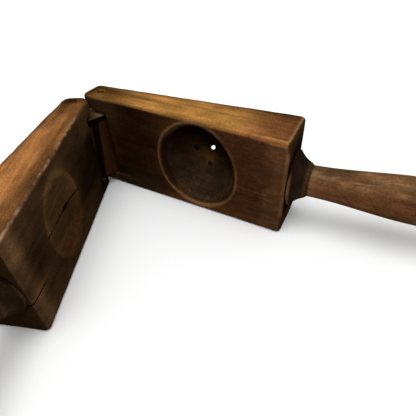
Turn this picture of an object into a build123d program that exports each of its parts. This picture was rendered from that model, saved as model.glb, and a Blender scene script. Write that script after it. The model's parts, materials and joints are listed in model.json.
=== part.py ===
from build123d import *
import os
from math import cos, radians, sin, sqrt

# Wooden hinged hand press, in millimetres: two tapered jaws that stand on their edges,
# a loose hinge link between two pegs, and a turned handle in the end of each jaw.
# Each jaw is drawn with its hinge peg at the origin, X towards the handle, Y from the
# inner face to the outer face and Z across the width. The row frame stands below the cup.

# Jaw blocks
JAW_WIDTH = 70.0
PIN_TO_END = 161.5
CUP_THICK_AT_PIN = 21.9
DISH_THICK_AT_PIN = 20.3
THICK_AT_END = 38.9
END_TILT = 7.0
EDGE_ROUND = 2.0
END_CORNER_ROUND = 3.0

# Hinge
PIN_DEPTH = 10.5
CLOSED_GAP = 2.6
CUP_NOSE = 10.8
CUP_NOSE_ROUND = 5.0
DISH_NOSE = 7.0
DISH_NOSE_ROUND = 7.0
EAR_TOP = 10.0
EAR_BOTTOM = 8.0
LINK_ROUND = 9.6
LINK_EDGE_ROUND = 0.8
SLOT_CLEARANCE = 0.6
LINK_FOOT_CLEARANCE = 0.3
LINK_TOP_PLAY = 2.9
PIN_RADIUS = 2.8
PIN_EAR_CLEARANCE = 0.02
PIN_LINK_CLEARANCE = 0.08
PIN_SUNK = 0.8
PIN_END_CHAMFER = 0.4

# Cup and dish
SEAT_FROM_PIN = 91.0
CUP_RADIUS = 31.4
CUP_DEPTH = 20.0
CUP_RIM_ROUND = 1.4
DRAIN_RADIUS = 1.7
DRAIN_CIRCLE = 8.8
DRAIN_TURNS = (45.0, 165.0, 285.0)
DRAIN_MIDDLE_ALONG = -2.1
DRAIN_MIDDLE_UP = 2.0
ASKEW_DRAIN = 0
ASKEW_OUTLET_ALONG = -3.3
ASKEW_OUTLET_UP = 0.3
DISH_RADIUS = 28.5
DISH_DEPTH = 1.2

# Turned handles
TENON_RADIUS = 8.5
TENON_LENGTH = 26.0
TENON_CHAMFER = 1.0
TENON_CLEARANCE = 0.05
TENON_END_GAP = 1.0
HANDLE_RAISE = 0.6
COLLAR_MARGIN = 0.6
COLLAR_RIM = 2.0
COLLAR_EDGE_ROUND = 0.8
COVE_LENGTH = 9.2
COVE_SAG = 0.6
LIP_RADIUS = 11.9
LIP_LENGTH = 1.6
NECK_RADIUS = 10.5
GRIP_RADIUS = 15.0
GRIP_SWELL_AT = 88.0
BUTT_RADIUS = 13.2
BUTT_LENGTH = 10.0
HANDLE_LENGTH = 122.0

# Rest pose: each hinge angle is counted from closed jaws
LINK_OPEN = 19.0
DISH_OPEN = 43.9

# Values that follow from the sizes above
OVERCUT = 1.0
MID_WIDTH = JAW_WIDTH / 2
PIN_PITCH = 2 * PIN_DEPTH + CLOSED_GAP
SLOT_END = LINK_ROUND + SLOT_CLEARANCE
SLOT_HEIGHT = JAW_WIDTH - EAR_TOP - EAR_BOTTOM
END_OUT = Vector(cos(radians(END_TILT)), sin(radians(END_TILT)))
END_INNER = Vector(PIN_TO_END, -PIN_DEPTH)
END_OUTER = END_INNER + THICK_AT_END * Vector(-END_OUT.Y, END_OUT.X)
COLLAR_RADIUS = THICK_AT_END / 2 - COLLAR_MARGIN


def outer_face_at(x, thick_at_pin):
    at_pin = thick_at_pin - PIN_DEPTH
    return at_pin + (END_OUTER.Y - at_pin) * x / END_OUTER.X


def handle_plane():
    """Plane on the middle of a jaw's end face, with Z out along the handle."""
    middle = (END_INNER + END_OUTER) / 2 + Vector(0, 0, MID_WIDTH + HANDLE_RAISE)
    return Plane(origin=middle, x_dir=(0, 0, 1), z_dir=END_OUT)


def round_corner(plan, corner, radius):
    """Round the corner of a plan face that lies nearest to a point."""
    return fillet(plan.vertices().sort_by_distance(corner)[0], radius)


def jaw_blank(thick_at_pin, nose, nose_round):
    """Tapered block with a rounded hinge end, a slotted nose and a handle mortise."""
    nose_inner = Vector(-nose, -PIN_DEPTH)
    nose_outer = Vector(-nose, outer_face_at(-nose, thick_at_pin))
    plan = make_face(Polyline(nose_inner, END_INNER, END_OUTER, nose_outer, close=True))
    plan = round_corner(plan, END_INNER, END_CORNER_ROUND)
    plan = round_corner(plan, END_OUTER, END_CORNER_ROUND)
    plan = round_corner(plan, nose_inner, nose_round)
    plan = round_corner(plan, nose_outer, nose_round)
    block = extrude(plan, JAW_WIDTH)
    caps = block.faces().sort_by(Axis.Z)
    block = fillet(caps[0].edges() + caps[-1].edges(), EDGE_ROUND)

    slot_length = nose + OVERCUT + SLOT_END
    slot_across = 2 * (thick_at_pin + PIN_DEPTH)
    slot = Box(slot_length, slot_across, SLOT_HEIGHT, align=(Align.MAX, Align.CENTER, Align.MIN))
    block -= Pos(SLOT_END, 0, EAR_BOTTOM) * slot

    peg_hole = Cylinder(PIN_RADIUS + PIN_EAR_CLEARANCE, JAW_WIDTH + 2 * OVERCUT)
    block -= Pos(0, 0, MID_WIDTH) * peg_hole

    mortise_depth = TENON_LENGTH + TENON_END_GAP
    mortise = Cylinder(
        TENON_RADIUS + TENON_CLEARANCE,
        mortise_depth + OVERCUT,
        align=(Align.CENTER, Align.CENTER, Align.MIN),
    )
    return block - handle_plane() * Pos(0, 0, -mortise_depth) * mortise


def seat_ball(mouth_radius, depth):
    """Radius and centre height of the ball that cuts a round hollow into the inner face."""
    ball_radius = (mouth_radius**2 + depth**2) / (2 * depth)
    return ball_radius, -PIN_DEPTH - ball_radius + depth


def seat_cutter(mouth_radius, depth):
    ball_radius, ball_y = seat_ball(mouth_radius, depth)
    return Pos(SEAT_FROM_PIN, ball_y, MID_WIDTH) * Sphere(ball_radius)


def worn_rim(jaw, mouth_radius, rim_round):
    """Round the mouth edge of a hollow in the inner face."""
    rims = jaw.edges().filter_by(GeomType.CIRCLE)
    rim = rims.sort_by(lambda edge: abs(edge.radius - mouth_radius))[0]
    return fillet(rim, rim_round)


def drain(mouth_along, mouth_up, outlet_along, outlet_up):
    """Hole from the cup's floor to the outer face, with both ends placed from the cup's middle."""
    ball_radius, ball_y = seat_ball(CUP_RADIUS, CUP_DEPTH)
    floor_y = ball_y + sqrt(ball_radius**2 - mouth_along**2 - mouth_up**2)
    mouth = Vector(SEAT_FROM_PIN + mouth_along, floor_y, MID_WIDTH + mouth_up)
    outlet_x = SEAT_FROM_PIN + outlet_along
    outlet = Vector(outlet_x, outer_face_at(outlet_x, CUP_THICK_AT_PIN), MID_WIDTH + outlet_up)
    overrun = 2 * DRAIN_RADIUS + OVERCUT
    hole = Cylinder(DRAIN_RADIUS, (outlet - mouth).length + 2 * overrun)
    return Plane(origin=(mouth + outlet) / 2, z_dir=outlet - mouth) * hole


def cup_jaw():
    """Jaw with the cup. Its drains lie off the cup's middle, and one of them runs askew."""
    jaw = jaw_blank(CUP_THICK_AT_PIN, CUP_NOSE, CUP_NOSE_ROUND)
    jaw -= seat_cutter(CUP_RADIUS, CUP_DEPTH)
    jaw = worn_rim(jaw, CUP_RADIUS, CUP_RIM_ROUND)
    for number, turn in enumerate(DRAIN_TURNS):
        along = DRAIN_MIDDLE_ALONG + DRAIN_CIRCLE * cos(radians(turn))
        up = DRAIN_MIDDLE_UP + DRAIN_CIRCLE * sin(radians(turn))
        if number == ASKEW_DRAIN:
            jaw -= drain(along, up, ASKEW_OUTLET_ALONG, ASKEW_OUTLET_UP)
        else:
            jaw -= drain(along, up, along, up)
    return jaw


def dish_jaw():
    jaw = jaw_blank(DISH_THICK_AT_PIN, DISH_NOSE, DISH_NOSE_ROUND)
    return jaw - seat_cutter(DISH_RADIUS, DISH_DEPTH)


def handle():
    """Turned handle: tenon, flared collar with a cove, lip, neck, swelling grip and butt."""
    cove_start = (COLLAR_RADIUS, COLLAR_RIM)
    cove_end = (LIP_RADIUS, COLLAR_RIM + COVE_LENGTH)
    cove_middle = (
        (cove_start[0] + cove_end[0]) / 2 - COVE_SAG,
        (cove_start[1] + cove_end[1]) / 2 - COVE_SAG,
    )
    neck = (NECK_RADIUS, cove_end[1] + LIP_LENGTH)
    swell = (GRIP_RADIUS, GRIP_SWELL_AT)
    butt = (BUTT_RADIUS, HANDLE_LENGTH - BUTT_LENGTH)
    tip = (0, HANDLE_LENGTH)
    along = (0, 1)
    inward = (-1, 0)
    outline = [
        Polyline((0, -TENON_LENGTH), (TENON_RADIUS, -TENON_LENGTH), (TENON_RADIUS, 0)),
        Polyline((TENON_RADIUS, 0), (COLLAR_RADIUS, 0), cove_start),
        ThreePointArc(cove_start, cove_middle, cove_end),
        Line(cove_end, neck),
        Spline(neck, swell, tangents=(along, along)),
        Spline(swell, butt, tip, tangents=(along, inward)),
        Line(tip, (0, -TENON_LENGTH)),
    ]
    body = revolve(make_face(Plane.XZ * Curve(outline)), Axis.Z)
    circles = body.edges().filter_by(GeomType.CIRCLE)
    collar_edges = circles.sort_by(lambda edge: abs(edge.radius - COLLAR_RADIUS))[:2]
    body = fillet(collar_edges, COLLAR_EDGE_ROUND)
    tenon_end = body.edges().filter_by(GeomType.CIRCLE).sort_by(Axis.Z)[0]
    return chamfer(tenon_end, TENON_CHAMFER)


def hinge_link():
    """Tongue with round ends: the cup jaw's peg at the origin, the other peg at -Y."""
    plan = SlotCenterToCenter(PIN_PITCH, 2 * LINK_ROUND, rotation=90)
    height = SLOT_HEIGHT - LINK_FOOT_CLEARANCE - LINK_TOP_PLAY
    tongue = extrude(plan, height)
    caps = tongue.faces().sort_by(Axis.Z)
    tongue = fillet(caps[0].edges() + caps[-1].edges(), LINK_EDGE_ROUND)
    bore = Cylinder(PIN_RADIUS + PIN_LINK_CLEARANCE, height + 2 * OVERCUT)
    for end in (-1, 1):
        tongue -= Pos(0, end * PIN_PITCH / 2, height / 2) * bore
    return Pos(0, -PIN_PITCH / 2, EAR_BOTTOM + LINK_FOOT_CLEARANCE) * tongue


def hinge_pin():
    """Straight peg, sunk a little below both edges of its jaw."""
    length = JAW_WIDTH - 2 * PIN_SUNK
    peg = Cylinder(PIN_RADIUS, length, align=(Align.CENTER, Align.CENTER, Align.MIN))
    peg = chamfer(peg.edges().filter_by(GeomType.CIRCLE), PIN_END_CHAMFER)
    return Pos(0, 0, PIN_SUNK) * peg


def place_cup_side(shape):
    middle = (outer_face_at(SEAT_FROM_PIN, CUP_THICK_AT_PIN) - PIN_DEPTH) / 2
    return Pos(-SEAT_FROM_PIN, -middle, 0) * shape


def place_link(shape):
    return place_cup_side(Rot(0, 0, -LINK_OPEN) * shape)


def place_dish_side(shape):
    closed = Pos(0, -PIN_PITCH, 0) * Rot(0, 0, -DISH_OPEN) * mirror(shape, about=Plane.XZ)
    return place_link(closed)


mounted_handle = handle_plane() * handle()
peg = hinge_pin()
pieces = {
    "cup_jaw": place_cup_side(cup_jaw()),
    "cup_handle": place_cup_side(mounted_handle),
    "cup_pin": place_cup_side(peg),
    "hinge_link": place_link(hinge_link()),
    "dish_jaw": place_dish_side(dish_jaw()),
    "dish_handle": place_dish_side(mounted_handle),
    "dish_pin": place_dish_side(peg),
}

os.makedirs("parts", exist_ok=True)
for name, shape in pieces.items():
    export_step(shape, f"parts/{name}.step")
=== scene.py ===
import json
from math import cos, pi, radians, sin

import bmesh
import bpy
import numpy as np
from mathutils import Matrix, Vector


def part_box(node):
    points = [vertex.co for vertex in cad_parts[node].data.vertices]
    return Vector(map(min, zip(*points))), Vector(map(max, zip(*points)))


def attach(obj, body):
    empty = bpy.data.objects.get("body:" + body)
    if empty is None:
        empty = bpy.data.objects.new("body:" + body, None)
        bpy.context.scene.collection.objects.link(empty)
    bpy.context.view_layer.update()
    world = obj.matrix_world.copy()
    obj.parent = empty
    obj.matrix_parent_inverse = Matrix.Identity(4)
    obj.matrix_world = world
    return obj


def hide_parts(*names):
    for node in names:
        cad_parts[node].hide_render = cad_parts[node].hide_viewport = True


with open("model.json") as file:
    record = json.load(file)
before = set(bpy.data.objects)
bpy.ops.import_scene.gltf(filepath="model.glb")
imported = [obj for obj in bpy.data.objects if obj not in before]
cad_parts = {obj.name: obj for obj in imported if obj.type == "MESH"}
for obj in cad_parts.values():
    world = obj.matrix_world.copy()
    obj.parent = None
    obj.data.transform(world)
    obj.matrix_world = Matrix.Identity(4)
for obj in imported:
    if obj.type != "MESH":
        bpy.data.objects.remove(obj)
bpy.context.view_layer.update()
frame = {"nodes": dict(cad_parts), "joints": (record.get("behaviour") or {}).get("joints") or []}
scene = bpy.context.scene

# Lengths are in millimetres unless a name ends in _M, and MM turns them into metres.
# Angles are in degrees.
MM = 0.001

# Camera, measured in the row frame
EYE_M = (0.1403, -0.2252, 0.1838)
YAW = 33.28
PITCH = 50.51
ROLL = -3.63
PICTURE_SIZE = 416.0
FOCAL_PIXELS = 369.2
AXIS_ROW = 301.5
SENSOR_WIDTH = 36.0
NEAR_CLIP_M = 0.01

# Floor and light
FLOOR_HALF_M = 40.0
FLOOR_DROP_M = 0.0004
FLOOR_SEEN = 0.97
FLOOR_BOUNCE = 0.35
FLOOR_ROUGHNESS = 0.9
AMBIENT = 0.7
KEY_FROM_M = (0.2, -0.35, 1.35)
KEY_SPREAD = 53
KEY_STRENGTH = 1.6

# Evenness of the meshes
JAW_VOXEL = 0.6
LINK_VOXEL = 0.5
PEG_VOXEL = 0.3
WELD = 0.001
CREASE_ANGLE = 40
LATHE_SEGMENTS = 112
LATHE_STEP = 0.6
LATHE_TIP = 0.05
TENON_END = -0.01

# Wear: rounds of smoothing that say how far the edges of each piece can be rubbed back
JAW_WEAR = 24
LINK_WEAR = 12
PEG_WEAR = 8
HANDLE_WEAR = 6
RUBBED_SHARE = 0.8
RUB_SIZES = (9.0, 3.0)
WAVINESS = 0.25
WAVE_SIZE = (30.0, 14.0, 14.0)

# Jaws, in the frame of each: X from the peg to the handle, Y inner to outer face, Z up
PIN_TO_END = 161.5
CUP_THICK_AT_PIN = 21.9
DISH_THICK_AT_PIN = 20.3
THICK_AT_END = 38.9
END_TILT = 7.0
HANDLE_RAISE = 0.6
SEAT_FROM_PIN = 91.0
CUP_RADIUS = 31.4
DISH_RADIUS = 28.5

# What lies deeper than this bowl is a drain: its depth, and its rise per square millimetre
BOWL_DEPTH = 20.2
BOWL_RISE = 0.0145

# Frames of the pieces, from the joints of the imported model
joints = {joint["name"]: joint for joint in frame["joints"]}
link_joint = joints["link_swing"]
dish_joint = joints["dish_swing"]
opening = radians(link_joint["range_deg"][1] + dish_joint["range_deg"][1])
link_turn = radians(link_joint["range_deg"][1])
CUP_FRAME = Matrix.Translation(link_joint["pos_m"])
LINK_FRAME = CUP_FRAME @ Matrix.Rotation(-link_turn, 4, "Z")
DISH_FRAME = (
    Matrix.Translation(dish_joint["pos_m"])
    @ Matrix.Rotation(-opening, 4, "Z")
    @ Matrix.Diagonal((1, -1, 1, 1))
)
JAW_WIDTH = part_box("cup_jaw")[1].z / MM
MID_WIDTH = JAW_WIDTH / 2
INNER_FACE = (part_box("cup_jaw")[0].y - CUP_FRAME.translation.y) / MM
END_LEAN = THICK_AT_END * sin(radians(END_TILT))
END_RISE = THICK_AT_END * cos(radians(END_TILT))
END_MIDDLE = (PIN_TO_END - END_LEAN / 2, INNER_FACE + END_RISE / 2, MID_WIDTH + HANDLE_RAISE)

# Tints, as shares of red, green and blue
GOLDEN = (1.0, 0.46, 0.115)
RED = (1.0, 0.37, 0.14)
DULL = (1.0, 0.5, 0.21)
GREY = (1.0, 0.56, 0.28)
OLIVE = (1.0, 0.62, 0.23)
PALE = (1.0, 0.64, 0.42)
AMBER = (1.0, 0.41, 0.09)

# A tone of 1 is the palest bare wood, and each sixth below it halves the brightness
PALEST = 0.64
HALVINGS = 6.0
DARKEST_TONE = -0.3
EDGE_LIFT = 0.12
EDGE_TINGE = 0.6
# Painted shade in hollows, as a lift of tone
HOLLOW_SHADE = -0.2

# Sizes of the patches in which the paint varies
STREAK_SIZE = (45, 2.6, 2.6)
PATCH_SIZE = (16, 8, 8)
FLECK_SIZE = (6, 3, 3)
EDGE_PATCH_SIZES = ((14.0, 5.0, 5.0), 2.5)

# Pores of the wood
PORE_DARKENING = 0.07
PORE_DEPTH = 0.6
BUMP_STRENGTH = 0.35
BUMP_DEPTH = 0.25

# Where the grain of each piece starts, so that no two pieces look alike
CUP_GRAIN = (0, 40, 10)
DISH_GRAIN = (300, 25, 60)
LINK_GRAIN = (600, 10, 20)


# Shares, noise and frames


def smoothstep(low, high, values):
    t = np.clip((values - low) / (high - low), 0, 1)
    return t * t * (3 - 2 * t)


def ramp(values, *limits):
    """Share from 0 to 1. Each pair of limits says where it starts and where it is full."""
    share = 1.0
    for start, full in zip(limits[::2], limits[1::2]):
        share = share * smoothstep(start, full, values)
    return share


def spot(distance, radius):
    """Soft round spot: 1 in the middle third, fading out at its radius."""
    return smoothstep(radius, 0.3 * radius, distance)


def spot_at(u, v, centre, radius):
    return spot(np.hypot(u - centre[0], v - centre[1]), radius)


def line_distance(u, v, start, end):
    """Distance of points (u, v) from the line between two points."""
    du, dv = end[0] - start[0], end[1] - start[1]
    t = np.clip(((u - start[0]) * du + (v - start[1]) * dv) / (du * du + dv * dv), 0, 1)
    return np.hypot(u - start[0] - t * du, v - start[1] - t * dv)


def soft_noise(points, size, seed):
    """Smooth noise from 0 to 1 at points in millimetres, with features of about a size."""
    cells = np.asarray(points) / np.asarray(size, float)
    base = np.floor(cells).astype(int)
    part = cells - base
    part = part * part * (3 - 2 * part)
    base -= base.min(0)
    lattice = np.random.default_rng(seed).random(base.max(0) + 2)
    total = np.zeros(len(cells))
    for corner in np.ndindex(2, 2, 2):
        share = np.prod(np.where(corner, part, 1 - part), axis=1)
        total += share * lattice[tuple((base + corner).T)]
    return total


def patchy_noise(points, coarse, fine, seed):
    """Noise from 0 to 1 with features of two sizes."""
    return soft_noise(points, coarse, seed) * 0.6 + soft_noise(points, fine, seed + 1) * 0.4


def mesh_points(mesh):
    points = np.empty(len(mesh.vertices) * 3)
    mesh.vertices.foreach_get("co", points)
    return points.reshape(-1, 3)


def mesh_normals(mesh):
    normals = np.empty(len(mesh.vertices) * 3)
    mesh.vertex_normals.foreach_get("vector", normals)
    return normals.reshape(-1, 3)


def to_local(points, place):
    """Row-frame metres to the millimetres of a piece's own frame."""
    inverse = np.array(place.inverted())
    return (points @ inverse[:3, :3].T + inverse[:3, 3]) / MM


def directions_to_local(vectors, place):
    return vectors @ np.array(place.to_3x3().inverted()).T


def to_row(points, place):
    matrix = np.array(place)
    return np.asarray(points) * MM @ matrix[:3, :3].T + matrix[:3, 3]


def surface(piece, place):
    """Positions and normals of a piece's vertices, in its own frame."""
    points = to_local(mesh_points(piece.data), place)
    return points, directions_to_local(mesh_normals(piece.data), place)


# Meshes


def new_piece(name, mesh):
    piece = bpy.data.objects.new(name, mesh)
    scene.collection.objects.link(piece)
    return piece


def bake_modifiers(piece):
    """Put the shape that a piece's modifiers give into its mesh."""
    depsgraph = bpy.context.evaluated_depsgraph_get()
    mesh = bpy.data.meshes.new_from_object(piece.evaluated_get(depsgraph))
    piece.modifiers.clear()
    piece.data = mesh
    mesh.name = piece.name


def even_copy(name, node, voxel):
    """Copy of a CAD node with even faces, so that its surface can be worn."""
    shell = bmesh.new()
    shell.from_mesh(frame["nodes"][node].data)
    bmesh.ops.remove_doubles(shell, verts=shell.verts, dist=WELD * MM)
    mesh = bpy.data.meshes.new(name)
    shell.to_mesh(mesh)
    shell.free()
    piece = new_piece(name, mesh)
    even = piece.modifiers.new("even", "REMESH")
    even.mode = "VOXEL"
    even.voxel_size = voxel * MM
    bake_modifiers(piece)
    return piece


def loft(name, rings):
    """Closed mesh through rings of points in the row frame, with a cap on both ends."""
    shell = bmesh.new()
    rows = [[shell.verts.new(point) for point in ring] for ring in rings]
    for a, b in zip(rows, rows[1:]):
        for i in range(len(a)):
            j = (i + 1) % len(a)
            shell.faces.new((a[i], a[j], b[j], b[i]))
    shell.faces.new(rows[0][::-1])
    shell.faces.new(rows[-1])
    bmesh.ops.recalc_face_normals(shell, faces=shell.faces)
    mesh = bpy.data.meshes.new(name)
    shell.to_mesh(mesh)
    shell.free()
    return mesh


def cut(piece, blade):
    """Take a closed mesh out of a piece."""
    saw = new_piece("blade", blade)
    boolean = piece.modifiers.new("cut", "BOOLEAN")
    boolean.operation = "DIFFERENCE"
    boolean.solver = "EXACT"
    boolean.object = saw
    bake_modifiers(piece)
    bpy.data.objects.remove(saw)


def smoothed(mesh, points, rounds):
    """Positions after rounds of averaging each vertex with its neighbours."""
    edges = np.empty(len(mesh.edges) * 2, int)
    mesh.edges.foreach_get("vertices", edges)
    start, end = edges.reshape(-1, 2).T
    count = np.bincount(edges, minlength=len(points))
    result = points.copy()
    for _ in range(rounds):
        for axis in range(3):
            near = np.bincount(start, result[end, axis], len(points))
            near += np.bincount(end, result[start, axis], len(points))
            result[:, axis] = (result[:, axis] + near / count) / 2
    return result


def wear_down(piece, place, rounds, seed):
    """Round a piece's edges unevenly. Returns how far each vertex stood proud, in millimetres."""
    mesh = piece.data
    points = mesh_points(mesh)
    normals = mesh_normals(mesh)
    rounded = smoothed(mesh, points, rounds)
    proud = np.einsum("ij,ij->i", points - rounded, normals) / MM
    local = to_local(points, place)
    patches = patchy_noise(local, *RUB_SIZES, seed)
    share = smoothstep(0.35, 0.75, patches) * smoothstep(0.05, 0.5, proud)
    wavy = (soft_noise(local, WAVE_SIZE, seed + 2) - 0.5) * WAVINESS
    points += (rounded - points) * share[:, None] * RUBBED_SHARE
    points += normals * (wavy * MM)[:, None]
    mesh.vertices.foreach_set("co", points.ravel())
    mesh.update()
    return proud


def finish_piece(piece, body, node, material):
    mesh = piece.data
    mesh.materials.clear()
    mesh.materials.append(material)
    mesh.shade_smooth()
    mesh.set_sharp_from_angle(angle=radians(CREASE_ANGLE))
    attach(piece, body)
    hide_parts(node)


# Paint


def paint(piece, name, values):
    """Store one number, or one vector, for each vertex, for the piece's material."""
    vector = np.ndim(values) == 2
    kind = "FLOAT_VECTOR" if vector else "FLOAT"
    layer = piece.data.attributes.new(name, kind, "POINT")
    layer.data.foreach_set("vector" if vector else "value", np.asarray(values, np.float32).ravel())


class Coat:
    """Tone and tint of every vertex of a piece, laid on region by region."""

    def __init__(self, count, tone, tint):
        self.tone = np.full(count, float(tone))
        self.tint = np.tile(np.asarray(tint, float), (count, 1))

    def lay(self, share, tone, tint):
        self.tone += (tone - self.tone) * share
        self.tinge(share, tint)

    def tinge(self, share, tint):
        self.tint += (np.asarray(tint) - self.tint) * share[:, None]

    def lift(self, share, amount):
        self.tone += amount * share

    def shade(self, face, rules, along, across):
        """Lift a face by rules, each an amount, its limits along and its limits across."""
        for amount, along_limits, across_limits in rules:
            self.lift(face * ramp(along, *along_limits) * ramp(across, *across_limits), amount)

    def weather(self, share, local, streaks, patches, seed):
        """Vary the tone in streaks along X and in soft patches."""
        self.lift(share * (soft_noise(local, STREAK_SIZE, seed) - 0.5), streaks)
        self.lift(share * (soft_noise(local, PATCH_SIZE, seed + 1) - 0.5), patches)
        self.lift(share * (soft_noise(local, FLECK_SIZE, seed + 2) - 0.5), patches * 0.6)

    def rub_edges(self, worn):
        self.lift(worn, EDGE_LIFT)
        self.tinge(worn * EDGE_TINGE, GOLDEN)

    def paint_hollow_shade(self, proud, share=1.0):
        """Painted shade: darken inner corners, where a vertex lies below its neighbours."""
        self.lift(smoothstep(0.1, 0.7, -proud) * share, HOLLOW_SHADE)

    def store(self, piece, grain):
        paint(piece, "grain", grain)
        paint(piece, "tone", np.clip(self.tone, DARKEST_TONE, 1))
        paint(piece, "tint", self.tint)


def edge_wear(local, proud, seed):
    """Share that hands and table rub bare: edges that stand proud, in patches."""
    patches = patchy_noise(local, *EDGE_PATCH_SIZES, seed)
    return smoothstep(0.06, 0.55, proud) * (0.35 + 0.65 * smoothstep(0.35, 0.7, patches))


# Materials


class Nodes:
    """Small helper that adds and links the nodes of one material or world."""

    def __init__(self, owner, shader="Principled BSDF"):
        owner.use_nodes = True
        self.tree = owner.node_tree
        self.shader = self.tree.nodes[shader]

    def add(self, kind, inputs=None, **settings):
        node = self.tree.nodes.new(kind)
        for key, value in settings.items():
            setattr(node, key, value)
        for key, value in (inputs or {}).items():
            self.put(node.inputs[key], value)
        return node

    def put(self, socket, value):
        if isinstance(value, bpy.types.NodeSocket):
            self.tree.links.new(value, socket)
        else:
            socket.default_value = value

    def set(self, socket, value):
        self.put(self.shader.inputs[socket], value)

    def math(self, operation, first, second):
        return self.add("ShaderNodeMath", {0: first, 1: second}, operation=operation).outputs[0]

    def map_range(self, value, from_min, from_max, to_min, to_max):
        inputs = {0: value, 1: from_min, 2: from_max, 3: to_min, 4: to_max}
        return self.add("ShaderNodeMapRange", inputs).outputs[0]

    def attribute(self, name, output):
        return self.add("ShaderNodeAttribute", attribute_name=name).outputs[output]

    def noise(self, coords, scale, detail, roughness=0.55, distortion=0.0):
        """Noise whose features are about 1/scale millimetres long on each axis."""
        scaled = self.add("ShaderNodeVectorMath", {0: coords, 1: scale}, operation="MULTIPLY")
        inputs = {
            "Vector": scaled.outputs[0],
            "Scale": 1.0,
            "Detail": detail,
            "Roughness": roughness,
            "Distortion": distortion,
        }
        return self.add("ShaderNodeTexNoise", inputs).outputs[0]

    def seen(self):
        """1 for rays that show the background, and 0 for light that bounces off it."""
        path = self.add("ShaderNodeLightPath").outputs
        seen = path["Is Camera Ray"]
        for kind in ("Is Glossy Ray", "Is Transmission Ray"):
            seen = self.math("MAXIMUM", seen, path[kind])
        return seen


def wood(name, figure, fibre, speckles, roughness):
    """Old wood with grain along X of its grain coordinates, in a painted tone and tint."""
    material = bpy.data.materials.new(name)
    nodes = Nodes(material)
    coords = nodes.attribute("grain", "Vector")
    tone = nodes.attribute("tone", "Fac")
    tint = nodes.attribute("tint", "Vector")
    broad = nodes.noise(coords, (0.012, 0.16, 0.16), detail=3.0, distortion=0.6)
    fine = nodes.noise(coords, (0.035, 1.1, 1.1), detail=4.0, roughness=0.65)
    blotch = nodes.noise(coords, (0.05, 0.07, 0.07), detail=4.0, roughness=0.6)
    pores = nodes.noise(coords, (0.22, 2.6, 2.6), detail=2.0)
    speckle = nodes.noise(coords, (0.55, 0.9, 0.9), detail=3.0, roughness=0.7)
    swing = 0.0
    for noise, amount in ((broad, figure), (fine, fibre), (blotch, figure), (speckle, speckles)):
        centred = nodes.math("SUBTRACT", noise, 0.5)
        swing = nodes.math("ADD", swing, nodes.math("MULTIPLY", centred, amount))
    pitted = nodes.map_range(pores, 0.36, 0.28, 0.0, 1.0)
    swing = nodes.math("SUBTRACT", swing, nodes.math("MULTIPLY", pitted, PORE_DARKENING))
    shade = nodes.math("ADD", tone, swing)
    halvings = nodes.math("MULTIPLY", nodes.math("SUBTRACT", shade, 1.0), HALVINGS)
    brightness = nodes.math("MULTIPLY", nodes.math("POWER", 2.0, halvings), PALEST)
    colour = nodes.add("ShaderNodeVectorMath", {0: tint, "Scale": brightness}, operation="SCALE")
    height = nodes.math("SUBTRACT", fine, nodes.math("MULTIPLY", pitted, PORE_DEPTH))
    relief = {"Strength": BUMP_STRENGTH, "Distance": BUMP_DEPTH * MM, "Height": height}
    nodes.set("Base Color", colour.outputs[0])
    nodes.set("Roughness", nodes.map_range(fine, 0.3, 0.7, roughness - 0.08, roughness + 0.1))
    nodes.set("Specular IOR Level", 0.0)
    nodes.set("Normal", nodes.add("ShaderNodeBump", relief).outputs[0])
    return material


jaw_wood = wood("jaw_wood", figure=0.2, fibre=0.2, speckles=0.36, roughness=0.65)
handle_wood = wood("handle_wood", figure=0.2, fibre=0.25, speckles=0.36, roughness=0.6)
link_wood = wood("link_wood", figure=0.18, fibre=0.2, speckles=0.36, roughness=0.65)
peg_wood = wood("peg_wood", figure=0.15, fibre=0.1, speckles=0.3, roughness=0.65)


# Jaws


def facing(component):
    """Share of a face that looks along an axis, from that component of its normals."""
    return smoothstep(0.3, 0.8, component)


class JawSkin:
    """Vertices of a worn jaw in its own frame, and the share of each in the jaw's faces."""

    def __init__(self, jaw, place, thick_at_pin):
        self.local, normals = surface(jaw, place)
        x, y, z = self.local.T
        along, outwards, up = normals.T
        thickness = thick_at_pin + (END_RISE - thick_at_pin) * x / (PIN_TO_END - END_LEAN)
        self.x, self.y, self.z = x, y, z
        self.depth = y - INNER_FACE
        self.across = self.depth / thickness
        self.beyond_seat = x - SEAT_FROM_PIN
        self.above_seat = z - MID_WIDTH
        self.off_seat = np.hypot(self.beyond_seat, self.above_seat)
        self.inwards = -outwards
        self.top = facing(up) * ramp(z, JAW_WIDTH - 6, JAW_WIDTH - 4)
        self.bottom = facing(-up)
        self.inner = facing(self.inwards) * ramp(self.depth, 1.6, 0.9)
        self.outer = facing(outwards)
        self.end = facing(along) * ramp(x, 130, 140)
        self.ear = facing(up) * ramp(z, 20, 15) * ramp(x, 30, 25)


def jaw_coat(skin, seed):
    """Coat of a plain jaw: a rubbed golden top, dark stained faces elsewhere, painted shadow round
    the handle on the end.
    """
    coat = Coat(len(skin.local), 0.2, RED)
    for face, tone in ((skin.outer, 0.56), (skin.bottom, 0.56), (skin.end, 0.2), (skin.ear, 0.44)):
        coat.lay(face, tone, DULL)
    # Painted shadow of the handle's collar on the end face
    round_handle = np.hypot(skin.y - END_MIDDLE[1], skin.z - END_MIDDLE[2])
    coat.lift(skin.end * ramp(round_handle, 28, 20), -0.24)
    coat.lay(skin.inner, 0.43, RED)
    coat.lay(skin.top, 0.79, GOLDEN)
    coat.weather(1 - skin.inner, skin.local, streaks=0.14, patches=0.14, seed=seed)
    coat.weather(skin.inner, skin.local, streaks=0.06, patches=0.14, seed=seed + 5)
    coat.lift(skin.top * ramp(skin.across, 0.84, 0.96), -0.2)
    return coat


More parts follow.
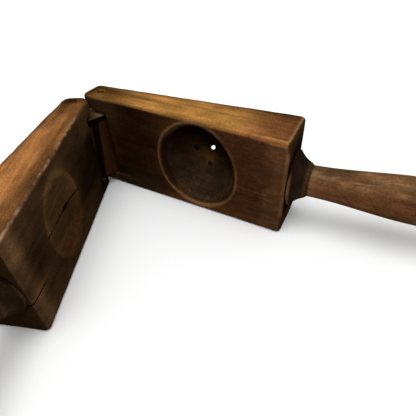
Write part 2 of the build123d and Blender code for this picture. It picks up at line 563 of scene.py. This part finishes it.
# Rules of tone are (amount, limits along X, limits across the top or up the face)
CUP_TOP_TONES = (
    (-0.2, (50, 5), ()),
    (-0.12, (75, 20), (0.3, 0.6)),
    (-0.15, (115, 148), ()),
    (-0.08, (150, 160), ()),
    (-0.14, (90, 110), (0.65, 0.9)),
    (0.1, (4, 10, 70, 50), (0.5, 0.7)),
    (-0.07, (132, 146), (0.3, 0.6)),
    (-0.12, (4, -4), ()),
    (0.07, (10, 25, 70, 50), (0.35, 0.1)),
    (-0.12, (-4, -9), ()),
)
DISH_TOP_TONES = (
    (-0.16, (35, 5), ()),
    (-0.13, (8, 30), (0.5, 0.1)),
    (-0.08, (70, 90), (0.3, 0.1)),
    (-0.1, (60, 75), (0.1, 0.02)),
    (0.06, (30, 60), (0.2, 0.45)),
    (-0.1, (50, 35), (0.4, 0.6)),
    (-0.18, (8, 0), ()),
    (-0.12, (1, -5), ()),
    (-0.1, (25, 35, 80, 65), (0.75, 0.9)),
)
DISH_FACE_TONES = (
    (0.05, (95, 110), (48, 56)),
    (-0.07, (118, 130), (28, 36, 54, 46)),
    (-0.21, (70, 42), (12, 28, 56, 44)),
    (0.06, (122, 132, 148, 140), (34, 24)),
    (-0.12, (24, 14), (24, 16)),
    (0.15, (34, 22), (50, 56)),
    (0.08, (50, 65, 100, 85), (60, 65)),
    (-0.08, (40, 12), ()),
    (0.24, (138, 152), ()),
    (-0.1, (154, 160), ()),
)

# Spots on the dish face are (amount, (x, z), radius)
DISH_FACE_SPOTS = (
    (0.07, (74, 53), 20),
    (-0.07, (126, 56), 10),
    (0.14, (94.3, 58.3), 2.0),
)

# Places on the cup jaw, as (x, z)
SCRATCH = ((125.0, 29.5), (147.5, 28.9))
LOW_DRAIN_STAIN = (90.5, 33.5)
LOW_DRAIN_GLOW = (91.0, 32.0)
LEFT_DRAIN_STAIN = (82.2, 42.0)


def paint_cup_top(coat, skin):
    """Darkest by the hinge, golden in the middle and redder by the handle."""
    coat.shade(skin.top, CUP_TOP_TONES, skin.x, skin.across)
    coat.tinge(skin.top * ramp(skin.x, 115, 148) * 0.8, RED)
    coat.lift(skin.top * spot_at(skin.x, 30 * skin.across, (94, 16.5), 22), 0.07)
    coat.lift(skin.top * spot_at(skin.x, 22 * skin.across, (7, 13.2), 9), -0.05)


def paint_cup_face(coat, skin):
    """Painted shade, nearly black, by the hinge; rubbed at the handle, along the upper edge and at
    the foot.
    """
    x, z, inner = skin.x, skin.z, skin.inner
    # Painted shade of the corner between the jaws, deepest by the hinge
    coat.lift(inner * ramp(x, 78, 40), -0.27)
    coat.lay(inner * ramp(x, 34, 10) * ramp(z, 44, 54), 0.35, DULL)
    band_start = 142 + 7 * ramp(z, 30, 40, 60, 54)
    end_band = inner * ramp(x - band_start, 0, 6)
    coat.lay(end_band * 0.8, 0.55, DULL)
    coat.tinge(end_band * 0.35, RED)

    # Upper edge
    edge_z = JAW_WIDTH - 0.015 * (x - 20) - 0.6 * ramp(x, 135, 152)
    upper_edge = ramp(z - edge_z, -2.4, -0.4) * ramp(skin.inwards, 0.15, 0.5)
    edge_tone = 0.64 + 0.08 * ramp(x, 20, 70) + 0.05 * ramp(x, 80, 125) + 0.08 * ramp(x, 130, 145)
    edge_tone += 0.12 * (soft_noise(skin.local, (9, 2, 2), seed=25) - 0.5)
    coat.lay(upper_edge * ramp(x, -8, -2), edge_tone, GOLDEN)
    coat.tinge(upper_edge * ramp(x, 110, 140) * 0.7, RED)

    # Foot by the hinge, a faint dark streak above, and painted light along the lower edge of the
    # upper ear
    coat.lift(inner * ramp(z, 15, 6) * ramp(x, 72, 52), 0.1)
    coat.tinge(inner * ramp(x, 60, 45) * ramp(z, 26, 14) * 0.8, GREY)
    coat.lift(inner * ramp(abs(z - 53), 4.5, 1.5) * ramp(x, 114, 122, 150, 140), -0.07)
    # Painted light: paler under the upper ear, where the ear shades the face
    coat.lift(inner * ramp(abs(z - 60), 2.5, 0.5) * ramp(x, 12, 8), 0.12)

    # Edges of the end, rubbed pale
    corner = spot_at(x, skin.depth, (PIN_TO_END - 0.8, 0.8), 2.6)
    coat.lay(corner * 0.9, 0.6, DULL)
    coat.lift(corner * ramp(z, 50, 62), 0.12)
    end_x = PIN_TO_END - skin.depth * END_LEAN / END_RISE
    end_edge = spot_at(x - end_x, z, (-0.8, JAW_WIDTH - 0.8), 3.0)
    coat.lay(end_edge * 0.9, 0.76, DULL)
    coat.lift(inner * spot_at(x, z, (150, 56), 12), 0.08)
    coat.lay(skin.end * ramp(z, 58, 66), 0.34, DULL)
    coat.lay(skin.end * ramp(z, 18, 8), 0.3, DULL)

    # Beside the slot of the hinge, along the foot, and a scratch by the handle
    coat.lay(inner * ramp(x, 22, 12) * ramp(z, 14, 30, 57, 50) * 0.8, 0.3, AMBER)
    coat.lift(inner * ramp(abs(z - 9.5 + 0.06 * x), 2.4, 0.6) * ramp(x, 40, 22), 0.14)
    coat.lay(inner * ramp(z, 9, 3) * ramp(x, 52, 70, 132, 118) * 0.8, 0.5, GOLDEN)
    coat.lay(inner * ramp(x, 12, 5) * ramp(z, 13, 7) * 0.8, 0.46, DULL)
    coat.lift(inner * ramp(line_distance(x, z, *SCRATCH), 0.9, 0.4), 0.12)


def paint_cup_hollow(coat, skin, in_cup):
    """Painted shade under the upper edge, hazy and stained below, amber round the drains."""
    x, z, local = skin.x, skin.z, skin.local
    coat.lay(in_cup, 0.31, GREY)
    # Painted shade: darker and redder towards the upper edge of the bowl, whose wall faces down
    painted_shade = in_cup * ramp(skin.above_seat + 0.2 * skin.beyond_seat, -6, 20)
    coat.lift(painted_shade, -0.38)
    coat.lift(in_cup * ramp(skin.beyond_seat, 6, 20) * ramp(z, 34, 22), -0.05)
    coat.lift(in_cup * ramp(skin.beyond_seat, -8, -22) * ramp(z, 14, 26, 48, 40), -0.12)
    coat.tinge(painted_shade * 0.8, RED)
    haze = in_cup * spot(np.hypot(skin.beyond_seat + 3, (z - 18) * 1.1), 15.0)
    coat.lift(haze * soft_noise(local, 2.4, seed=19), 0.12)
    stain = in_cup * ramp(skin.off_seat, 24, 30) * ramp(z, 22, 12)
    coat.lay(stain * ramp(soft_noise(local, 1.8, seed=20), 0.45, 0.7) * 0.7, 0.5, GOLDEN)
    coat.weather(in_cup, local[:, [0, 2, 1]], streaks=0.10, patches=0.14, seed=17)

    coat.lay(in_cup * spot_at(x, z, LOW_DRAIN_STAIN, 12.0) * 0.8, 0.46, GOLDEN)
    coat.lay(in_cup * spot_at(x, z, LOW_DRAIN_GLOW, 5.5) * 0.9, 0.66, AMBER)
    by_left_drain = in_cup * spot_at(x, z, LEFT_DRAIN_STAIN, 12.0)
    coat.lift(by_left_drain, 0.12)
    coat.tinge(by_left_drain * 0.5, AMBER)
    right_wall = in_cup * ramp(skin.off_seat, 24, 29) * ramp(skin.beyond_seat, 10, 20)
    coat.lift(right_wall * ramp(z, 14, 22, 48, 40), 0.1)
    below_bowl = skin.depth + BOWL_RISE * skin.off_seat**2 - BOWL_DEPTH
    coat.lay(in_cup * ramp(below_bowl, 0, 1), 0.12, RED)


def paint_cup_rim(coat, skin):
    """Dark edge of the cup and the pale ring around it, neither the same all the way round."""
    beyond, above, depth = skin.beyond_seat, skin.above_seat, skin.depth
    low = ramp(skin.z, 18, 4)
    left = ramp(beyond, -18, -28)
    upper_left = spot_at(beyond, above, (-12, 29), 22)
    lower_left = spot_at(beyond, above, (-24, -20), 14)
    upper_right = spot_at(beyond, above, (25, 17), 16)
    rim = ramp(skin.off_seat, CUP_RADIUS + 0.8, CUP_RADIUS - 0.2) * ramp(depth, 4.5, 3)
    coat.lay(rim * (1 - low) * (1 - upper_left) * 0.8, 0.26 - 0.2 * left, DULL)
    coat.lay(rim * upper_left * 0.8, 0.5, DULL)

    rubbed = ramp(beyond + above, 10, -25)
    ring_radius = CUP_RADIUS + 2.3 - 1.7 * low - 0.9 * upper_left
    off_ring = abs(np.hypot(beyond + 0.3, above - 0.1) - ring_radius)
    ring = ramp(off_ring, 1.5 + 0.3 * rubbed + low, 0.5) * ramp(depth, 2.6, 1.2)
    ring_tone = 0.62 + 0.1 * low + 0.08 * upper_left - 0.16 * upper_right + 0.1 * lower_left
    coat.lay(ring * 0.9, ring_tone, DULL)


def cup_jaw():
    jaw = even_copy("worn_cup_jaw", "cup_jaw", JAW_VOXEL)
    proud = wear_down(jaw, CUP_FRAME, JAW_WEAR, seed=11)
    skin = JawSkin(jaw, CUP_FRAME, CUP_THICK_AT_PIN)
    in_cup = ramp(skin.off_seat, CUP_RADIUS + 0.4, CUP_RADIUS - 0.8) * ramp(skin.depth, 0.8, 2.2)
    in_cup *= 1 - skin.outer
    off_cup = ramp(skin.off_seat, CUP_RADIUS + 0.5, CUP_RADIUS + 1.5)
    coat = jaw_coat(skin, seed=15)
    paint_cup_top(coat, skin)
    paint_cup_face(coat, skin)
    paint_cup_hollow(coat, skin, in_cup)
    paint_cup_rim(coat, skin)
    coat.rub_edges(edge_wear(skin.local, proud, seed=21) * off_cup * (1 - 0.8 * skin.end))
    # Painted shade in the hollows outside the cup
    coat.paint_hollow_shade(proud, 1 - in_cup)
    coat.store(jaw, skin.local + CUP_GRAIN)
    finish_piece(jaw, "cup_side", "cup_jaw", jaw_wood)


# Cracks in the dish jaw, as stops of (x, z, width, depth)
SEAT_CRACK = (
    (62, 35.4, 0.25, 0.8),
    (75, 37.2, 0.5, 2.0),
    (80, 37.7, 0.9, 4.0),
    (84, 37.7, 3.2, 6.0),
    (88, 37.6, 3.4, 6.0),
    (91, 37.5, 0.9, 3.0),
    (95, 37.5, 0.5, 1.5),
    (121, 39.3, 0.3, 0.8),
)
END_CRACK = ((139, 23.9, 0.25, 1.0), (150, 24.9, 0.5, 4.0), (164, 25.8, 0.9, 12.0))
CRACK_STEP = 0.8
CRACK_JITTER = 0.22
CRACK_SIDES = (0.3, 0.6)
CRACK_BOTTOM = 0.05
BLADE_OVERHANG = 1.0


def crack_blade(path, place, seed):
    """Jagged wedge through the inner face, along the stops of a crack."""
    stops = np.array(path, float)
    xs = np.arange(stops[0, 0], stops[-1, 0], CRACK_STEP)
    z, width, depth = (np.interp(xs, stops[:, 0], stops[:, column]) for column in (1, 2, 3))
    rng = np.random.default_rng(seed)
    z = z + np.convolve(rng.normal(0, CRACK_JITTER, len(xs)), np.ones(3) / 3, "same")
    left = width * rng.uniform(*CRACK_SIDES, len(xs))
    right = width * rng.uniform(*CRACK_SIDES, len(xs))
    above = INNER_FACE - BLADE_OVERHANG
    rings = []
    for i, x in enumerate(xs):
        bottom = INNER_FACE + depth[i]
        corners = (
            (x, above, z[i] - left[i]),
            (x, above, z[i] + right[i]),
            (x, bottom, z[i] + CRACK_BOTTOM),
            (x, bottom, z[i] - CRACK_BOTTOM),
        )
        rings.append(to_row(corners, place))
    return loft("crack", rings)


def paint_dish_face(coat, skin):
    """Dull and dark by the hinge, from dirt and painted shade in the corner by the link, with a
    paler dish that is golden below, and a ring round it.
    """
    z, inner = skin.z, skin.inner
    coat.lay(skin.end, 0.22, DULL)
    coat.lay(inner, 0.34, DULL)
    coat.weather(inner, skin.local, streaks=0.06, patches=0.12, seed=37)
    # The darkening towards the hinge is dirt and painted shade in the corner by the link
    coat.shade(inner, DISH_FACE_TONES, skin.x, z)
    for amount, centre, radius in DISH_FACE_SPOTS:
        coat.lift(inner * spot_at(skin.x, z, centre, radius), amount)
    on_dish = ramp(skin.off_seat, DISH_RADIUS + 1.5, DISH_RADIUS - 1.5) * inner
    coat.lift(on_dish, 0.1)
    coat.tinge(on_dish * (0.3 + 0.6 * ramp(z, 45, 15)), GOLDEN)
    coat.tinge(on_dish * ramp(z, 40, 10) * 0.5, RED)
    coat.lift(on_dish * ramp(z, 35, 10), 0.04)
    off_ring = abs(skin.off_seat - DISH_RADIUS + 1.2)
    coat.lift(ramp(off_ring, 4.2, 0.8) * inner * ramp(z, 20, 50), 0.1)


def paint_dish_edges(coat, skin, proud):
    """Rubbed edges, but for those by the handle, and pale scuffs along the upper inner edge."""
    worn = edge_wear(skin.local, proud, seed=41) * (1 - 0.8 * skin.end)
    worn *= 1 - 0.9 * ramp(skin.z, 64, 67) * ramp(skin.depth, 4, 2)
    worn *= 1 - 0.9 * ramp(skin.x, 150, 156)
    coat.rub_edges(worn)
    upper_edge = spot_at(skin.depth, skin.z, (0.75, JAW_WIDTH - 0.5), 1.3)
    chipped = ramp(soft_noise(skin.local, (3.0, 1.5, 1.5), seed=43), 0.3, 0.8)
    coat.lay(upper_edge * ramp(skin.x, 18, 30) * (0.2 + 0.8 * chipped) * 0.8, 0.9, PALE)


def dish_jaw():
    jaw = even_copy("worn_dish_jaw", "dish_jaw", JAW_VOXEL)
    proud = wear_down(jaw, DISH_FRAME, JAW_WEAR, seed=31)
    skin = JawSkin(jaw, DISH_FRAME, DISH_THICK_AT_PIN)
    coat = jaw_coat(skin, seed=35)
    coat.tinge(skin.top * 0.5, RED)
    coat.shade(skin.top, DISH_TOP_TONES, skin.x, skin.across)
    paint_dish_face(coat, skin)
    paint_dish_edges(coat, skin, proud)
    # Painted shade in the hollows
    coat.paint_hollow_shade(proud)
    coat.store(jaw, skin.local + DISH_GRAIN)
    cut(jaw, crack_blade(SEAT_CRACK, DISH_FRAME, seed=51))
    cut(jaw, crack_blade(END_CRACK, DISH_FRAME, seed=52))
    finish_piece(jaw, "dish_side", "dish_jaw", jaw_wood)


# Hinge, with the grain upright


# Ends of the painted shadow along the crease on the link's side, as (y, z)
CREASE_TOP = (-12, 57)
CREASE_FOOT = (-18, 8)


def hinge_link():
    link = even_copy("worn_hinge_link", "hinge_link", LINK_VOXEL)
    proud = wear_down(link, LINK_FRAME, LINK_WEAR, seed=61)
    local, normals = surface(link, LINK_FRAME)
    upright = local[:, [2, 0, 1]]
    y, z = local[:, 1], local[:, 2]
    coat = Coat(len(local), 0.27, RED)
    coat.weather(1.0, upright, streaks=0.08, patches=0.14, seed=65)
    coat.lift(edge_wear(local, proud, seed=71), 0.06)

    # A leaning crease of painted shadow parts an amber strip from the dull wood by the dish jaw
    (top_y, top_z), (foot_y, foot_z) = CREASE_TOP, CREASE_FOOT
    crease_y = top_y - (top_y - foot_y) * (top_z - z) / (top_z - foot_z)
    past_crease = crease_y - y
    coat.lay(ramp(past_crease, -8, -1) * 0.9, 0.3 + 0.06 * ramp(z, 15, 40), AMBER)
    coat.lay(ramp(past_crease, -0.5, 0.8), -0.15, RED)
    coat.lay(ramp(past_crease, 5, 6.5), 0.3, DULL)
    # Painted shadow in a band under the top edge
    coat.lay(ramp(z - 0.12 * (y - top_y), 52.5, 54), -0.15, RED)
    # Painted light on the top, lighter where it lies under the ear
    coat.lay(ramp(normals[:, 2], 0.5, 0.9), 0.5 + 0.16 * ramp(y, -13, -9), OLIVE)
    coat.store(link, upright + LINK_GRAIN)
    finish_piece(link, "link", "hinge_link", link_wood)


def hinge_peg(name, node, body, place, seed):
    peg = even_copy(name, node, PEG_VOXEL)
    wear_down(peg, place, PEG_WEAR, seed)
    local = to_local(mesh_points(peg.data), place)
    coat = Coat(len(local), 0.28, RED)
    coat.lift(soft_noise(local, 1.2, seed + 1), 0.15)
    coat.store(peg, local[:, [2, 0, 1]] + (seed, 5, 5))
    finish_piece(peg, body, node, peg_wood)


# Turned handles, with s along the axis from the jaw's end


# Direction across a handle, as shares of its Y and Z, that looks up and away from the jaws' gap
HANDLE_BACK = (0.82, 0.57)
COLLAR_END = 13.0

# Rules of painted shade and light on the grip, darkest above by the collar: amount, limits of s,
# limits of how far it faces the back
GRIP_TONES = (
    (-0.2, (52, 32), (-0.25, 0.45)),
    (0.06, (), (0.6, 0.9)),
    (-0.05, (48, 64), (0.2, -0.2)),
)


def handle_frame(jaw_frame):
    """Frame of a handle: origin on the middle of the jaw's end, X out along the handle."""
    out = Matrix.Translation(Vector(END_MIDDLE) * MM) @ Matrix.Rotation(radians(END_TILT), 4, "Z")
    return jaw_frame @ out


def lathe_profile(node, place):
    """Radius of a turned CAD node along its axis, read from the rings of its mesh."""
    local = to_local(mesh_points(frame["nodes"][node].data), place)
    along = local[:, 0].round(2)
    radius = np.hypot(local[:, 1], local[:, 2])
    stations = np.unique(along)
    widest = np.zeros(len(stations))
    np.maximum.at(widest, np.searchsorted(stations, along), radius)
    return stations, widest


def turned_mesh(name, node, place):
    """Finely divided mesh on the profile of a turned CAD node: its tenon, then its shaft."""
    stations, widest = lathe_profile(node, place)
    tenon = [(s, r) for s, r in zip(stations, widest) if s < TENON_END]
    steps = np.arange(0, stations[-1], LATHE_STEP)
    shaft = zip(steps, np.interp(steps, stations, widest))
    first, last = (stations[0], LATHE_TIP), (stations[-1], LATHE_TIP)
    profile = [first, *tenon, (0.0, tenon[-1][1]), *shaft, last]
    turns = [2 * pi * k / LATHE_SEGMENTS for k in range(LATHE_SEGMENTS)]
    return loft(
        name,
        [[to_row((s, r * cos(a), r * sin(a)), place) for a in turns] for s, r in profile],
    )


def handle_coat(local, normals, rim_highlight_tone, seed):
    """Hand-polished grip with a painted sheen and painted shade above, and a collar in painted
    shade with a painted highlight on its rim and painted shadow against the jaw.
    """
    s = local[:, 0]
    back = HANDLE_BACK[0] * normals[:, 1] + HANDLE_BACK[1] * normals[:, 2]
    coat = Coat(len(local), 0.64, DULL)
    coat.lay(ramp(s, 40, 14) * 0.6, 0.69, GREY)
    coat.weather(1.0, local, streaks=0.14, patches=0.16, seed=seed + 7)
    coat.shade(1.0, GRIP_TONES, s, back)
    # Painted sheen: a paler band along the grip
    coat.lift(spot(abs(back + 0.1), 0.6) * ramp(s, 25, 45, 85, 60), 0.07)
    coat.lay(ramp(s, 26, 14) * 0.6, 0.72, GREY)
    # More painted shade on the upper side by the collar
    coat.lift(ramp(s, 22, 15) * ramp(back, 0.1, 0.5), -0.1)
    coat.tinge(ramp(back, 0.1, -0.8) * 0.7, RED)
    # Painted highlight: pale streaks of sheen in the same band
    painted_sheen = ramp(soft_noise(local, (12, 1.6, 1.6), seed + 9), 0.45, 0.75)
    coat.lay(spot(abs(back + 0.05), 0.45) * painted_sheen * 0.5, 0.8, GREY)

    # Collar, from the grip to the jaw, in painted shade that is lighter at its front, with a
    # painted highlight on the lower front of its rim and painted shadow at the joint with the jaw
    collar = ramp(s, COLLAR_END + 0.2, COLLAR_END - 0.6)
    flare = ramp(s, 11.5, 8.5)
    rim = ramp(s, 2.9, 2.2)
    joint = ramp(s, 0.6, 0.2)
    groove = ramp(abs(s - COLLAR_END), 0.9, 0.3)
    front = ramp(back, -0.5, -0.9)
    coat.lay(collar, 0.36, GREY)
    coat.lift(flare, -0.25 + 0.12 * front)
    coat.lift(ramp(s, COLLAR_END, 11) * front, 0.12)
    coat.lay(rim, rim_highlight_tone - 0.5 * ramp(back, -0.6, -0.1), GREY)
    coat.lay(joint, 0.0, RED)
    coat.lift(groove, -0.2)
    return coat


def turned_handle(name, node, body, jaw_frame, rim_highlight_tone, seed):
    place = handle_frame(jaw_frame)
    handle = new_piece(name, turned_mesh(name, node, place))
    proud = wear_down(handle, place, HANDLE_WEAR, seed)
    local, normals = surface(handle, place)
    coat = handle_coat(local, normals, rim_highlight_tone, seed)
    coat.lift(edge_wear(local, proud, seed + 5), EDGE_LIFT)
    coat.store(handle, local + (seed * 10, 30, 30))
    finish_piece(handle, body, node, handle_wood)


cup_jaw()
dish_jaw()
hinge_link()
hinge_peg("worn_cup_peg", "cup_pin", "cup_side", CUP_FRAME, seed=81)
hinge_peg("worn_dish_peg", "dish_pin", "dish_side", DISH_FRAME, seed=91)
turned_handle("turned_cup_handle", "cup_handle", "cup_side", CUP_FRAME, rim_highlight_tone=0.54, seed=101)
turned_handle("turned_dish_handle", "dish_handle", "dish_side", DISH_FRAME, rim_highlight_tone=0.3, seed=111)


# Floor, light and camera


def floor_material():
    material = bpy.data.materials.new("studio_floor")
    nodes = Nodes(material)
    nodes.set("Base Color", nodes.map_range(nodes.seen(), 0.0, 1.0, FLOOR_BOUNCE, FLOOR_SEEN))
    nodes.set("Roughness", FLOOR_ROUGHNESS)
    nodes.set("Specular IOR Level", 0.0)
    return material


def studio_floor():
    half, z = FLOOR_HALF_M, -FLOOR_DROP_M
    corners = [(-half, -half, z), (half, -half, z), (half, half, z), (-half, half, z)]
    mesh = bpy.data.meshes.new("floor")
    mesh.from_pydata(corners, [], [(0, 1, 2, 3)])
    mesh.materials.append(floor_material())
    new_piece("floor", mesh)


def studio_world():
    """White where it is seen, and a dimmer white as light on the object."""
    world = bpy.data.worlds.new("studio")
    nodes = Nodes(world, "Background")
    nodes.set("Color", (1, 1, 1, 1))
    nodes.set("Strength", nodes.map_range(nodes.seen(), 0.0, 1.0, AMBIENT, 1.0))
    scene.world = world


def key_light():
    """Soft light that is equally strong all over the floor, from the direction of a point."""
    lamp = bpy.data.lights.new("key", "SUN")
    lamp.angle = radians(KEY_SPREAD)
    lamp.energy = KEY_STRENGTH
    light = bpy.data.objects.new("key", lamp)
    light.location = KEY_FROM_M
    light.rotation_euler = (-Vector(KEY_FROM_M)).to_track_quat("-Z", "Y").to_euler()
    scene.collection.objects.link(light)


def photo_camera():
    yaw, pitch, roll = radians(YAW), radians(PITCH), radians(ROLL)
    forward = Vector((-sin(yaw) * cos(pitch), cos(yaw) * cos(pitch), -sin(pitch)))
    level = Vector((cos(yaw), sin(yaw), 0))
    upright = level.cross(forward)
    right = cos(roll) * level + sin(roll) * upright
    up = cos(roll) * upright - sin(roll) * level
    data = bpy.data.cameras.new("photo_camera")
    data.sensor_width = SENSOR_WIDTH
    data.lens = FOCAL_PIXELS / PICTURE_SIZE * SENSOR_WIDTH
    data.shift_y = AXIS_ROW / PICTURE_SIZE - 0.5
    data.clip_start = NEAR_CLIP_M
    camera = bpy.data.objects.new("photo_camera", data)
    turn = Matrix((right, up, -forward)).transposed().to_4x4()
    camera.matrix_world = Matrix.Translation(EYE_M) @ turn
    scene.collection.objects.link(camera)
    scene.camera = camera


studio_floor()
studio_world()
key_light()
photo_camera()
scene.view_settings.view_transform = "Standard"
